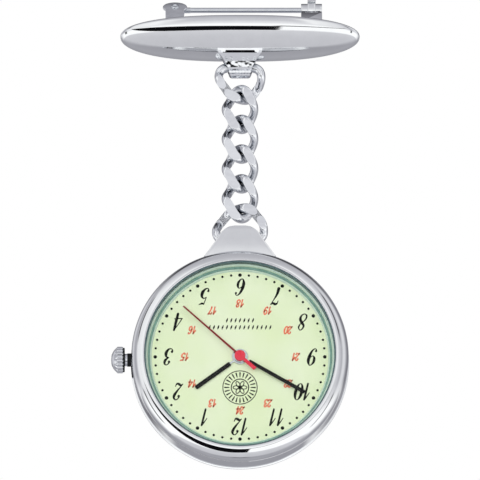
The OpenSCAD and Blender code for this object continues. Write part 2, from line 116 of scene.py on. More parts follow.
def lathe(profile, steps=160):
    """A closed outline (r, z) turned about Z."""
    points, faces, rows = [], [], []
    for r, z in profile:
        if r < 1e-6:
            rows.append([len(points)])
            points.append((0, 0, z))
        else:
            rows.append(list(range(len(points), len(points) + steps)))
            points += [(*turned(r, 0, 360 * k / steps), z) for k in range(steps)]
    for a, b in zip(rows, rows[1:] + rows[:1]):
        for k in range(steps):
            corners = [a[k % len(a)], a[(k + 1) % len(a)], b[(k + 1) % len(b)], b[k % len(b)]]
            face = list(dict.fromkeys(corners))
            if len(face) > 2:
                faces.append(face)
    return points, faces


def loft(rings, closed=False):
    """A skin over rings of points that all have the same count; open lofts are capped."""
    n, m = len(rings[0]), len(rings)
    points = [p for ring in rings for p in ring]
    faces = [[i * n + k, i * n + (k + 1) % n, (i + 1) % m * n + (k + 1) % n, (i + 1) % m * n + k]
             for i in range(m if closed else m - 1) for k in range(n)]
    if not closed:
        faces += [list(range(n))[::-1], [(m - 1) * n + k for k in range(n)]]
    return points, faces


def prism(outline, z0, z1, bevel=0.1, steps=3):
    """A plate between two heights with rounded edges."""
    low = [(bevel * (1 - sin(pi / 2 * k / steps)), z0 + bevel * (1 - cos(pi / 2 * k / steps)))
           for k in range(steps + 1)]
    levels = low + [(d, z0 + z1 - z) for d, z in low[::-1]]
    return loft([[(x, y, z) for x, y in inset(outline, d)] for d, z in levels])


def moved(shape, place):
    """A shape's points carried by a matrix."""
    points, faces = shape
    return [tuple(place @ Vector(p)) for p in points], faces


def joined(*shapes):
    """Several shapes as one."""
    points, faces = [], []
    for p, f in shapes:
        faces += [[i + len(points) for i in face] for face in f]
        points += p
    return points, faces


def along_x(shape, x=0):
    """A shape made about Z laid along X."""
    return moved(shape, Matrix.Translation((x, 0, 0)) @ Matrix.Rotation(pi / 2, 4, "Y"))


def shift(shape, x, y, z):
    """A shape moved by a step."""
    return moved(shape, Matrix.Translation((x, y, z)))


def rectangle(x0, x1, y0, y1, r, steps=3):
    """A rectangle's outline with rounded corners."""
    return fillet([(x0, y0, r), (x1, y0, r), (x1, y1, r), (x0, y1, r)], steps)


def block(x0, x1, y0, y1, z0, z1, bevel=0.1):
    """A brick with rounded edges and corners."""
    return prism(rectangle(x0, x1, y0, y1, bevel), z0, z1, bevel)


def rod(r, z0, z1, steps=64):
    """A plain round rod about Z."""
    return lathe([(0, z0), (r, z0), (r, z1), (0, z1)], steps)


def band(inner, outer, z0, z1, steps=64):
    """A plain flat ring about Z."""
    return lathe([(inner, z0), (outer, z0), (outer, z1), (inner, z1)], steps)


def solid(shape):
    """A bare object in millimetres, for boolean work."""
    mesh = bpy.data.meshes.new("solid")
    points, faces = shape
    mesh.from_pydata(points, [], faces)
    edit(mesh)
    made = bpy.data.objects.new("solid", mesh)
    bpy.context.scene.collection.objects.link(made)
    return made


def edit(mesh, scale=1.0):
    """Joins doubled points, makes the faces look outwards, and scales the mesh."""
    bm = bmesh.new()
    bm.from_mesh(mesh)
    bmesh.ops.remove_doubles(bm, verts=bm.verts, dist=1e-5)
    bmesh.ops.dissolve_degenerate(bm, dist=1e-6, edges=bm.edges)
    bmesh.ops.recalc_face_normals(bm, faces=bm.faces)
    bmesh.ops.scale(bm, vec=(scale, scale, scale), verts=bm.verts)
    bm.to_mesh(mesh)
    bm.free()


def carved(base, add=(), cut=(), bevel=0.0):
    """Joins shapes to a shape, cuts others out of it, then rounds its sharp edges."""
    body = solid(base)
    tools = []
    for operation, shape in [("UNION", s) for s in add] + [("DIFFERENCE", s) for s in cut]:
        tool = solid(shape)
        tools.append(tool)
        change = body.modifiers.new("cut", "BOOLEAN")
        change.operation = operation
        change.object = tool
        change.solver = "EXACT"
    if bevel:
        soften = body.modifiers.new("soften", "BEVEL")
        soften.width = bevel
        soften.segments = 2
        soften.limit_method = "ANGLE"
        soften.angle_limit = radians(32)
    bpy.context.view_layer.update()
    mesh = body.evaluated_get(bpy.context.evaluated_depsgraph_get()).to_mesh()
    result = [tuple(v.co) for v in mesh.vertices], [list(p.vertices) for p in mesh.polygons]
    for o in [body, *tools]:
        bpy.data.objects.remove(o)
    return result


def piece(name, shape, body, slot, place=None, stands_for=(), crease=38, finish=None):
    """A finished piece: it rides on its body and takes its slot's material, or a finish of its own."""
    mesh = bpy.data.meshes.new(name)
    points, faces = shape if place is None else moved(shape, place)
    mesh.from_pydata(points, [], faces)
    edit(mesh, MM)
    mesh.shade_smooth()
    mesh.set_sharp_from_angle(angle=radians(crease))
    mesh.materials.append(MATERIALS[finish or slot])
    made = bpy.data.objects.new(name, mesh)
    bpy.context.scene.collection.objects.link(made)
    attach(made, body)
    if stands_for:
        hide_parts(*stands_for)
    return made


# ---- Materials ----


class Nodes:
    """An emptied node tree, to be built up."""

    def __init__(self, owner):
        owner.use_nodes = True
        self.tree = owner.node_tree
        self.tree.nodes.clear()

    def node(self, kind, settings=(), **inputs):
        """A node with its settings, and with its inputs fed."""
        made = self.tree.nodes.new(kind)
        for key, value in dict(settings).items():
            setattr(made, key, value)
        for key, value in inputs.items():
            self.link(value, made.inputs[key.replace("_", " ").title().replace("Ior", "IOR")])
        return made

    def link(self, value, socket):
        """Feeds an input with a value or with another node's output."""
        if isinstance(value, bpy.types.NodeSocket):
            self.tree.links.new(value, socket)
        else:
            socket.default_value = value


class Paint(Nodes):
    """Builds one node material around a Principled shader."""

    def __init__(self, name, colour, metallic=0.0, roughness=0.4, **inputs):
        self.material = bpy.data.materials.new(name)
        super().__init__(self.material)
        self.shader = self.node("ShaderNodeBsdfPrincipled", base_color=(*colour, 1), metallic=metallic,
                                roughness=roughness, **inputs)
        self.out = self.node("ShaderNodeOutputMaterial").inputs["Surface"]
        self.link(self.shader.outputs["BSDF"], self.out)
        self.where = self.node("ShaderNodeTexCoord").outputs["Object"]
        self.normal = None

    def spread(self, stretch=(1, 1, 1)):
        """The place on the object, in millimetres, stretched."""
        return self.node("ShaderNodeMapping", vector=self.where,
                         scale=[s / MM for s in stretch]).outputs["Vector"]

    def noise(self, scale, detail=3.0, stretch=(1, 1, 1)):
        """Noise whose features are about 1 / scale millimetres wide."""
        return self.node("ShaderNodeTexNoise", vector=self.spread(stretch), scale=scale,
                         detail=detail, roughness=0.55).outputs["Fac"]

    def range(self, value, low, high, source=(0.3, 0.7)):
        """A value mapped to a range."""
        return self.node("ShaderNodeMapRange", value=value, from_min=source[0], from_max=source[1],
                         to_min=low, to_max=high).outputs["Result"]

    def rough(self, value, low, high):
        """Roughness that varies with a value."""
        self.link(self.range(value, low, high), self.shader.inputs["Roughness"])

    def tint(self, value, first, second, source=(0.3, 0.7)):
        """Base colour that varies between two colours with a value."""
        mix = self.node("ShaderNodeMix", {"data_type": "RGBA"}, a=(*first, 1), b=(*second, 1),
                        factor=self.range(value, 0, 1, source))
        self.link(mix.outputs["Result"], self.shader.inputs["Base Color"])

    def bump(self, value, depth_mm, strength=0.5):
        """Relief of a depth in millimetres."""
        made = self.node("ShaderNodeBump", strength=strength, distance=depth_mm * MM, height=value)
        if self.normal:
            self.link(self.normal, made.inputs["Normal"])
        self.normal = made.outputs["Normal"]
        self.link(self.normal, self.shader.inputs["Normal"])


def polished_chrome():
    """Mirror chrome over a buffed base: a faint ripple, and hairlines that scatter a little light."""
    p = Paint("polished_chrome", (0.86, 0.87, 0.89), 1.0, 0.04)
    p.tint(p.noise(0.6), (0.84, 0.855, 0.87), (0.88, 0.895, 0.91))
    p.rough(p.noise(3.0, 4.0), 0.022, 0.06)
    p.bump(p.noise(0.5, 1.0), 0.01, 0.25)
    p.bump(p.noise(14.0, 2.0, (1, 1, 0.06)), 0.0006, 0.3)
    return p.material


def worn_chrome(name, dark_at, clear_at):
    """Chrome with a livelier ripple, and painted shade: its base colour darkens in its hollows and where parts
    nearly touch, as ambient occlusion finds them.
    """
    p = Paint(name, (0.85, 0.87, 0.90), 1.0, 0.05)
    # Painted shade: ambient occlusion darkens the base colour in hollows and between parts.
    shade = p.node("ShaderNodeAmbientOcclusion", {"samples": 6}, distance=1.1 * MM)
    p.tint(shade.outputs["AO"], (0.22, 0.24, 0.27), (0.86, 0.88, 0.91), (dark_at, clear_at))
    p.rough(p.noise(3.0, 4.0), 0.03, 0.07)
    p.bump(p.noise(0.9, 1.0), 0.06, 0.5)
    p.bump(p.noise(14.0, 2.0, (1, 1, 0.06)), 0.0006, 0.3)
    return p.material


def brushed_back():
    """Steel with a circular brush about the case's axis."""
    p = Paint("brushed_back", (0.62, 0.62, 0.64), 1.0, 0.3)
    offset = p.node("ShaderNodeVectorMath", {"operation": "SUBTRACT"}, vector=p.where)
    p.link(pivot("hour_turn") * MM, offset.inputs[1])
    flat = p.node("ShaderNodeVectorMath", {"operation": "MULTIPLY"}, vector=offset.outputs["Vector"])
    p.link((1, 0, 1), flat.inputs[1])
    length = p.node("ShaderNodeVectorMath", {"operation": "LENGTH"}, vector=flat.outputs["Vector"])
    grain = p.node("ShaderNodeTexNoise", {"noise_dimensions": "1D"}, scale=14 / MM, detail=4,
                   w=length.outputs["Value"])
    p.rough(grain.outputs["Fac"], 0.2, 0.38)
    p.tint(p.noise(0.8), (0.58, 0.58, 0.6), (0.68, 0.68, 0.7))
    p.bump(grain.outputs["Fac"], 0.004, 0.35)
    return p.material


def plain_steel():
    """Bright drawn steel with fine lengthwise lines."""
    p = Paint("plain_steel", (0.80, 0.83, 0.87), 1.0, 0.14)
    p.tint(p.noise(1.2), (0.77, 0.80, 0.84), (0.84, 0.87, 0.91))
    p.rough(p.noise(9.0, 3.0, (0.1, 1, 1)), 0.08, 0.2)
    p.bump(p.noise(18.0, 2.0, (0.05, 1, 1)), 0.001, 0.4)
    return p.material


def crystal_glass():
    """Thin clear glass: what is behind shows straight through, and Fresnel gives the gloss."""
    p = Paint("crystal_glass", (0.95, 0.98, 0.98), 0.0, 0.02)
    p.tree.nodes.remove(p.shader)
    clear = p.node("ShaderNodeBsdfTransparent", color=(0.985, 0.995, 0.99, 1))
    wave = p.node("ShaderNodeBump", strength=0.1, distance=0.004 * MM, height=p.noise(0.25, 1.0))
    gloss = p.node("ShaderNodeBsdfGlossy", roughness=0.015, normal=wave.outputs["Normal"])
    fresnel = p.node("ShaderNodeFresnel", ior=1.18, normal=wave.outputs["Normal"])
    mix = p.node("ShaderNodeMixShader", fac=fresnel.outputs["Fac"])
    p.link(clear.outputs["BSDF"], mix.inputs[1])
    p.link(gloss.outputs["BSDF"], mix.inputs[2])
    p.link(mix.outputs["Shader"], p.out)
    return p.material


def lume_dial():
    """Pale green luminous paint: a fine powdery grain and slightly greener clouds."""
    p = Paint("lume_dial", (0.77, 0.84, 0.58), 0.0, 0.5)
    p.tint(p.noise(0.16, 2.0), (0.75, 0.83, 0.54), (0.80, 0.86, 0.63))
    p.rough(p.noise(30.0), 0.42, 0.6)
    p.bump(p.noise(40.0, 2.0), 0.004, 0.4)
    return p.material


def coil_copper():
    """Enamelled wire, wound in turns along the coil."""
    p = Paint("coil_copper", (0.55, 0.24, 0.10), 0.9, 0.3)
    wave = p.node("ShaderNodeTexWave", {"bands_direction": "X"}, vector=p.spread(), scale=3.0)
    p.tint(wave.outputs["Fac"], (0.40, 0.15, 0.05), (0.66, 0.30, 0.13), (0, 1))
    p.rough(p.noise(5.0), 0.22, 0.4)
    p.bump(wave.outputs["Fac"], 0.03, 0.8)
    return p.material


def coloured(name, first, second, metallic, low, high, scale=6.0, **inputs):
    """A coloured finish with clouded colour, uneven gloss and a fine grain."""
    p = Paint(name, first, metallic, low, **inputs)
    p.tint(p.noise(scale * 0.3), first, second)
    p.rough(p.noise(scale), low, high)
    p.bump(p.noise(scale * 3, 2.0), 0.002, 0.4)
    return p.material


# Two colours that cloud into each other, metallic, least and most roughness, and the clouds' scale.
COLOURED = {
    "seal_rubber": ((0.06, 0.11, 0.12), (0.10, 0.16, 0.17), 0.0, 0.4, 0.6),
    "rehaut_green": ((0.20, 0.36, 0.32), (0.27, 0.44, 0.40), 0.1, 0.12, 0.22, 2.0),
    "black_hand": ((0.004, 0.004, 0.004), (0.009, 0.009, 0.009), 0.0, 0.2, 0.35),
    "red_hand": ((0.70, 0.010, 0.035), (0.78, 0.02, 0.06), 0.0, 0.22, 0.35),
    "brass_train": ((0.76, 0.58, 0.26), (0.84, 0.66, 0.33), 1.0, 0.16, 0.3),
    "plate_nickel": ((0.70, 0.66, 0.56), (0.77, 0.74, 0.66), 1.0, 0.22, 0.36),
    "spacer_plastic": ((0.82, 0.82, 0.79), (0.9, 0.9, 0.87), 0.0, 0.4, 0.55),
    "magnet_iron": ((0.14, 0.14, 0.15), (0.2, 0.2, 0.21), 0.9, 0.35, 0.5),
    "board_green": ((0.02, 0.17, 0.08), (0.04, 0.24, 0.12), 0.0, 0.25, 0.4),
    "chip_black": ((0.015, 0.015, 0.016), (0.03, 0.03, 0.03), 0.0, 0.4, 0.55),
    # Near-black for painted shade: the rings round the crown that stand for its shadowed edge and gaps.
    "painted_shade_black": ((0.004, 0.005, 0.005), (0.008, 0.010, 0.010), 0.0, 0.4, 0.6),
    "lance_red": ((0.20, 0.008, 0.010), (0.26, 0.012, 0.014), 0.0, 0.25, 0.4),
    "mint_paint": ((0.60, 0.74, 0.65), (0.68, 0.81, 0.71), 0.0, 0.3, 0.42, 2.0),
    "numeral_black": ((0.004, 0.005, 0.004), (0.010, 0.011, 0.009), 0.0, 0.35, 0.5),
    "numeral_red": ((0.80, 0.16, 0.08), (0.86, 0.22, 0.13), 0.0, 0.4, 0.55),
}
GLOSS = {
    "black_hand": {"specular_ior_level": 0.2},
    "painted_shade_black": {"specular_ior_level": 0.2},
    "numeral_black": {"specular_ior_level": 0.12},
    "red_hand": {"coat_weight": 0.5, "coat_roughness": 0.1},
}
MATERIALS = {name: coloured(name, *values, **GLOSS.get(name, {})) for name, values in COLOURED.items()}
# link_chrome and fluted_chrome carry painted shade: darker chrome where links touch and in the crown's flutes.
MATERIALS["link_chrome"] = worn_chrome("link_chrome", 0.3, 0.85)
MATERIALS["fluted_chrome"] = worn_chrome("fluted_chrome", 0.45, 1.0)
for make in (polished_chrome, brushed_back, plain_steel, crystal_glass, lume_dial, coil_copper):
    MATERIALS[make.__name__] = make()

for part in frame["record"]["subparts"]:
    cad = frame["nodes"][part["node"]]
    cad.data.materials.clear()
    cad.data.materials.append(MATERIALS[part["material_slot"]])

# ---- Brooch ----

bar_low, bar_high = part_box("bar")
bar_half_l = (bar_high.x - bar_low.x) / 2 / MM
bar_half_h = 4.12
bar_bulge = 2.3
bar_back_y = -5.1
bar_mid_z = -1.6
rim_depth = 0.35


def bar_fullness(t):
    """Share of the bar's full height and bulge, at the share t of its half length."""
    return max(0.0, 1 - abs(t) ** 2.5) ** (1 / 2.2)


def bar_section(t):
    """One closed ring round the bar: a bulging face, a rolled rim and a stepped back."""
    lip, step = 0.5, 0.22
    x = bar_half_l * t
    k = bar_fullness(t) + 1e-4
    rim = rim_depth * k
    h, b = bar_half_h * k, (bar_bulge - rim_depth) * k
    front = [(rim + b * cos(pi / 2 * a), h * sin(pi / 2 * a)) for a in [j / 24 - 1 for j in range(49)]]
    roll = [(rim - rim * sin(pi / 2 * j / 8), h - rim * (1 - cos(pi / 2 * j / 8))) for j in range(1, 9)]
    lip_z, drop = h - rim - lip * k, step * k
    side = roll + [(0, lip_z), (drop, lip_z - drop * 0.3)]
    half = front + side + [(d, -z) for d, z in side[::-1]]
    return [(x, bar_back_y - d, bar_mid_z + z) for d, z in half]


def bar():
    """The pressed bar: a long bulging leaf with blunt, rounded tips."""
    stations = [sin(pi / 2 * k / 60) for k in range(-60, 61)]
    piece("bar", loft([bar_section(t) for t in stations]), "brooch", "polished_chrome", BROOCH,
          ["bar"], 50)


def bar_back():
    """The flat back plate, let in behind the rim."""
    reach, margin = 0.965, 0.72
    top = [(bar_half_l * t, bar_mid_z + (bar_half_h - margin) * bar_fullness(t / reach))
           for t in [reach * sin(pi / 2 * k / 40) for k in range(40, -41, -1)]]
    bottom = [(-x, 2 * bar_mid_z - z) for x, z in top[1:-1]]
    plate = prism(top + bottom, 0, 0.3, 0.08)
    upright = Matrix.Translation((0, bar_back_y - 0.14, 0)) @ Matrix.Rotation(pi / 2, 4, "X")
    piece("bar_back", moved(plate, upright), "brooch", "plain_steel", BROOCH, ["bar_back"])


def bail():
    """The cast loop under the bar: a ledge with a faceted edge, a face that narrows, and a cut loop."""
    loop_r, bore_r = 1.66, 1.08
    rows = [(-2.5, -6.7, 3.45), (-3.22, -6.95, 3.45), (-3.12, -7.3, 3.42), (-2.95, -7.66, 3.3),
            (-2.45, -8.15, 2.8), (-1.9, -8.65, 2.36)]
    for k, (y, z) in enumerate(arc(0, bail_z, loop_r, 196, 370, 18)):
        facet = 1.05 if k % 2 else 0.97
        half_w = 1.25 + sqrt(max(0.0, (z - bail_z + loop_r) / (2 * loop_r - 0.02)))
        rows.append((y * facet, bail_z + (z - bail_z) * facet, half_w))
    rows += [(1.0, -8.0, 2.4), (0.3, -7.3, 2.8)]
    rings = []
    for k in range(-7, 8):
        t = k / 7
        rim = 0.14 * max(0.0, abs(t) - 0.7) / 0.3
        steps = [(0.12 if i > 4 and (i + k) % 2 else 0) - (rim if 3 <= i <= 4 else 0)
                 for i in range(len(rows))]
        rings.append([(t * w, y + step, z) for (y, z, w), step in zip(rows, steps)])
    bore = shift(along_x(rod(bore_r, -9, 9)), 0, 0, bail_z)
    shape = carved(loft(rings), cut=[bore], bevel=0.05)
    piece("bail", shape, "brooch", "polished_chrome", None, ["bail"], 7, "link_chrome")


def foot(x0, x1, corner, steps):
    """A rounded plate that holds a fitting on the bar's back."""
    half_h, thickness = 1.7, 0.55
    to_back = Matrix.Translation((0, bar_back_y + thickness, -0.6)) @ Matrix.Rotation(pi / 2, 4, "X")
    outline = rectangle(x0, x1, -half_h, half_h, corner, steps)
    return moved(prism(outline, 0, thickness, 0.15), to_back)


def hinge():
    """Two flat round ears on a foot, riveted through the needle's eye."""
    gap, top, ear_w, ear_h = 0.34, 0.68, 1.86, 1.3

    def ear(half_w, z0, z1):
        outline = [(half_w * cos(radians(a)), ear_h * sin(radians(a))) for a in range(-40, 221, 6)]
        return prism([(-1.4, bar_back_y), (1.4, bar_back_y)] + outline, z0, z1, 0.1, 4)

    shape = joined(ear(ear_w, gap, top), ear(1.45, -top, -gap),
                   block(-1.35, 1.35, bar_back_y, -1.75, -gap - 0.05, gap + 0.05, 0.08),
                   foot(-2.3, 2.3, 0.6, 5))
    piece("hinge_bracket", shift(shape, hinge_x, 0, 0), "brooch", "polished_chrome", BROOCH,
          ["hinge_bracket"], finish="link_chrome")
    head = fillet([(0, top - 0.1, 0), (0.6, top - 0.1, 0), (0.6, top + 0.2, 0.16),
                   (0.3, top + 0.2, 0.03), (0.22, top + 0.08, 0.03), (0, top + 0.08, 0)], 4)
    rivet = joined(lathe(head, 48), moved(lathe(head, 48), Matrix.Rotation(pi, 4, "X")),
                   rod(0.45, -top, top, 48))
    piece("hinge_rivet", shift(rivet, hinge_x, 0, 0), "brooch", "plain_steel", BROOCH, ["hinge_rivet"])


def needle():
    """The pin: an eye, a squared root and a long round stem with a drawn point."""
    _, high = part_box("needle")
    tip = high.x / MM
    taper, stem_r = tip - 2, 0.4
    eye = lathe(fillet([(0.5, -0.3, 0.05), (1.2, -0.3, 0.12), (1.2, 0.3, 0.12), (0.5, 0.3, 0.05)]), 64)
    stem = lathe([(0, hinge_x + 1.0), (stem_r, hinge_x + 1.0), (stem_r, taper - 0.6)]
                 + [(stem_r - 0.32 * (k / 8) ** 1.5, taper - 0.6 + 2.5 * k / 8) for k in range(1, 9)]
                 + [(0, tip)], 40)
    root = block(hinge_x + 0.75, hinge_x + 2.4, -0.44, 0.44, -0.29, 0.29, 0.1)
    shape = joined(shift(eye, hinge_x, 0, 0), along_x(stem), root)
    piece("needle", shape, "needle_arm", "plain_steel", BROOCH, ["needle"])


def catch():
    """The safety catch: a slotted sleeve that turns between two split rings on a foot."""
    low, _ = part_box("catch_collar")
    near, length, cheek_t, slot = low.x / MM, 3.2, 0.9, 0.52
    ring_r, ring_bore, sleeve_r, sleeve_bore = 1.65, 1.05, 1.5, 0.62

    def drum(r, x0, x1, edge=0.1):
        profile = fillet([(0, x0, 0), (r, x0, edge), (r, x1, edge), (0, x1, 0)], 4)
        return along_x(lathe(profile, 72))

    gap = block(-1, length + 1, 0, 9, -slot, slot, 0.01)
    far = length - cheek_t
    cheeks = [block(x, x + cheek_t, bar_back_y, 0, -1.25, 1.25, 0.02) for x in (0, far)]
    floor = block(0.01, length - 0.01, bar_back_y, bar_back_y + 2.6, -1.24, 1.24, 0.02)
    flat_top = block(-1, length + 1, 1.62, 9, -9, 9, 0.01)
    rings = carved(drum(ring_r, 0, cheek_t), [drum(ring_r, far, length), *cheeks, floor],
                   [drum(ring_bore, -1, length + 1, 0.01), gap, flat_top], 0.09)
    base = joined(rings, foot(0, length, 0.5, 4))
    piece("catch_base", shift(base, near, 0, 0), "brooch", "polished_chrome", BROOCH, ["catch_base"])

    tab = cheek_t + 0.08
    outline = rectangle(tab, length - tab, -0.35, 0.35, 0.15)
    sleeve = carved(drum(1, 0, length, 0.05),
                    [drum(sleeve_r, tab, length - tab), prism(outline, 1, 1.95, 0.14)],
                    [drum(sleeve_bore, -1, length + 1, 0.01), gap], 0.05)
    piece("catch_collar", shift(sleeve, near, 0, 0), "catch_sleeve", "polished_chrome", BROOCH,
          ["catch_collar"])


# ---- Chain: polished curb links whose front and back are ground flat ----

WIRE_R = 0.75
LINK_TWIST = 45
FLAT_AT = 1.27
SIDE_THINNING = 0.14
LEANS = (5.5, 3.5, 7, 4.5, 6, 3)


def ground(y):
    """A depth pressed softly to the flat that the links are ground to."""
    soft = 0.2
    h = max(soft - abs(abs(y) - FLAT_AT), 0) / soft
    return copysign(min(abs(y), FLAT_AT) - h * h * soft / 4, y)


def twist_at(z, half_l, top, bottom):
    """The link's turn about Z at a height."""
    k = sin(pi / 2 * max(-1, min(1, z / (half_l - 0.9))))
    return (top + bottom) / 2 + (top - bottom) / 2 * k


def link_mesh(outline, half_l, top, bottom, lean):
    """A closed tube round a link's outline, twisted, slimmer at the sides, and ground flat."""
    sides = 30
    path, flats = [], []
    for x, z in outline:
        a = radians(twist_at(z, half_l, top, bottom))
        path.append(Vector((x * cos(a), x * sin(a), z)))
        flats.append(Vector((-sin(a), cos(a), 0)))
    rings = []
    for i, p in enumerate(path):
        along = (path[(i + 1) % len(path)] - path[i - 1]).normalized()
        u = (flats[i] - flats[i].dot(along) * along).normalized()
        w = along.cross(u)
        slim = WIRE_R - SIDE_THINNING * (1 - min(1, abs(outline[i][1]) / half_l) ** 2)
        ring = [p + WIRE_R * u * cos(2 * pi * j / sides) + slim * w * sin(2 * pi * j / sides)
                for j in range(sides)]
        rings.append([(q.x, ground(q.y + lean * q.z) - lean * q.z, q.z) for q in ring])
    return loft(rings, closed=True)


def chain():
    """Six links, each at its own height: the first and last are wide, the others are curb links."""
    steps = 168
    angles = [2 * pi * (k + 0.5) / steps for k in range(steps)]
    for i in range(1, 7):
        name = f"link_{i}"
        low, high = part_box(name)
        middle = (low.z + high.z) / 2 / MM
        half_l = (high.z - low.z) / 2 / MM - WIRE_R
        if i in (1, 6):
            half_w = 3.3 if i == 1 else 3.68
            ends = [2 / (4 if (sin(t) > 0) == (i == 1) else 2.3) for t in angles]
            outline = [(half_w * copysign(abs(cos(t)) ** e, cos(t)),
                        half_l * copysign(abs(sin(t)) ** e, sin(t))) for t, e in zip(angles, ends)]
            twists = (0, LINK_TWIST) if i == 1 else (-LINK_TWIST, 0)
        else:
            half_w = 2.2
            outline = [(half_w * cos(t), half_w * sin(t) + (half_l - half_w) * tanh(2.2 * sin(t))
                        / tanh(2.2)) for t in angles]
            twists = (-LINK_TWIST, LINK_TWIST)
        lean = tan(radians(LEANS[i - 1]))
        shape = shift(link_mesh(outline, half_l, *twists, lean), 0, 0, middle)
        piece(name, shape, f"chain_{i}", "polished_chrome", None, [name], 30, "link_chrome")


# ---- Watch case ----

CASE_R = 16.5


def case_body():
    """The case's band, rounded at its back edge, with the lug on top."""
    profile = fillet([(14.45, -2.4, 0), (15.9, -2.4, 0.12), (16.4, -2.25, 0.1), (16.62, -2.1, 0.04),
                      (16.62, -1.87, 0.01), (16.42, -1.82, 0.01), (16.45, 1.9, 0.1), (15.3, 1.9, 0),
                      (15.3, 2.95, 0), (14.45, 2.95, 0)], 6)
    bore_at = (0, lug_rise, hang_front)
    core = along_x(lathe(fillet([(0, -1.8, 0), (1.95, -1.8, 0.2), (1.95, 1.8, 0.2), (0, 1.8, 0)]), 72))
    neck = block(-1.8, 1.8, 14.9, lug_rise, -1.9, 1.7, 0.2)
    bore = shift(along_x(rod(1.05, -9, 9)), *bore_at)
    inside = rod(CASE_R - 0.4, -9, 9, 200)
    lug = carved(shift(core, *bore_at), [neck], [bore, inside], 0.08)
    piece("case_body", joined(lathe(profile, 256), lug), "watch", "polished_chrome", CASE,
          ["case_body"])


def lug_face():
    """The lug's front plate: curved-in sides, a round top, and a face that leans back a little."""
    base_y, top_y, base_w, top_w = 15.9, lug_rise + 2.0, 5.5, 2.5
    rows = 36
    rings = []
    for k in range(rows + 1):
        s = k / rows
        y = base_y + (top_y - base_y) * s
        w = top_w + (base_w - top_w) * (1 - s) ** 1.3
        end = max(0.0, (y - (top_y - 1.5)) / 1.5)
        w -= 1.6 * (1 - sqrt(max(0.0, 1 - end * end)))
        front = 2.0 + 0.85 * s - s * s + 0.22 * s ** 3 - 0.15 * max(0.0, end - 0.7)
        back = 1.5 - 0.35 * s
        crown, edge = 0.07, 0.08
        across = [-w + edge * (1 - cos(pi / 2 * j / 4)) for j in range(5)]
        lift = [-edge * (1 - sin(pi / 2 * j / 4)) for j in range(5)]
        inner = [w * (j / 8 - 1) for j in range(1, 16)]
        xs = across + [x * (1 - edge / w) for x in inner] + [-x for x in across[::-1]]
        zs = lift + [0] * 15 + lift[::-1]
        top = [(x, y, front + z - crown * (x / base_w) ** 2) for x, z in zip(xs, zs)]
        rings.append(top + [(w - 0.1, y, back), (0, y, back), (-w + 0.1, y, back)])
    piece("lug_face", loft(rings), "watch", "polished_chrome", CASE, (), 42)


def bezel():
    """The press-on bezel: a polished ring that slopes ever more steeply down to a full round edge."""
    knots = [(14.62, 0), (14.77, 8), (15.06, 21), (15.57, 28)]
    top, z = [], 4.35
    for (r0, a0), (r1, a1) in zip(knots, knots[1:]):
        for k in range(8):
            top.append((r0 + (r1 - r0) * k / 8, z))
            z -= (r1 - r0) / 8 * tan(radians(a0 + (a1 - a0) * (k + 0.5) / 8))
    edge_r, slope = knots[-1]
    turn = (CASE_R - edge_r) / (1 - sin(radians(slope)))
    centre_z = z - turn * cos(radians(slope))
    top += [(CASE_R - turn + turn * sin(radians(a)), centre_z + turn * cos(radians(a)))
            for a in range(slope, 91, 4)] + [(CASE_R, centre_z)]
    inner = [(14.55, 4.31), (14.51, 4.2), (14.51, 4.06), (14.64, 4.0), (14.64, 2.97), (15.32, 2.97)]
    profile = top + [(CASE_R, 2.2), (16.46, 2.08), (16.38, 2.02), (15.32, 2.02)] + inner[::-1]
    piece("bezel", lathe(profile, 256), "watch", "polished_chrome", CASE, ["bezel"], 50)


def crystal():
    """The domed crystal with a polished chamfer."""
    dome = [(13.9 * k / 12, 4.3 + 0.35 * (1 - (k / 12) ** 2)) for k in range(13)]
    edge = [(14.46, 4.12), (14.46, 3.99), (14.62, 3.99), (14.62, 3.66)]
    piece("crystal", lathe([(0, 3.66)] + dome + edge, 160), "watch", "crystal_glass", CASE,
          ["crystal"])


def rehaut():
    """The green ring under the crystal: a pale step, a darker line, and a pale slope to the dial."""
    step = fillet([(14.43, 1.92, 0), (14.43, 2.98, 0), (14.6, 2.98, 0), (14.6, 3.6, 0), (14.5, 3.6, 0),
                   (14.44, 3.08, 0.03), (14.08, 3.08, 0.04), (14.0, 2.7, 0), (14.0, 1.92, 0)], 4)
    piece("rehaut", lathe(step, 200), "watch", "rehaut_green", CASE, ["rehaut"], finish="mint_paint")
    line = lathe([(13.99, 1.92), (13.99, 2.66), (13.68, 2.36), (13.68, 1.92)], 200)
    piece("rehaut_line", line, "watch", "rehaut_green", CASE)
    slope = lathe([(13.67, 1.92), (13.67, 2.32), (13.63, 2.3), (13.42, 1.92)], 200)
    piece("rehaut_slope", slope, "watch", "rehaut_green", CASE, finish="mint_paint")


def case_back():
    """The press-on back: a stepped rim, a case-knife notch and a plain ring ornament."""
    face, groove = -3.9, 0.09
    rings = [(0, face)]
    for r in (6.4, 6.9, 11.6, 12.1):
        rings += [(r - 0.14, face), (r - 0.06, face + groove), (r + 0.06, face + groove),
                  (r + 0.14, face)]
    rim = fillet([(14.15, face, 0.25), (15.0, -3.75, 0.2), (15.55, -3.35, 0.2), (15.7, -2.9, 0.05),
                  (14.4, -2.9, 0), (14.4, -1.7, 0.05), (13.7, -1.7, 0.05), (13.7, -2.9, 0)], 4)
    disc = lathe(rings + rim + [(0, -2.9)], 200)
    notch = shift(along_x(rod(0.5, -1.4, 1.4, 32)), 0, -15.7, -3.2)
    piece("case_back", carved(disc, cut=[notch]), "watch", "brushed_back", CASE,
          ["case_back"], 30)


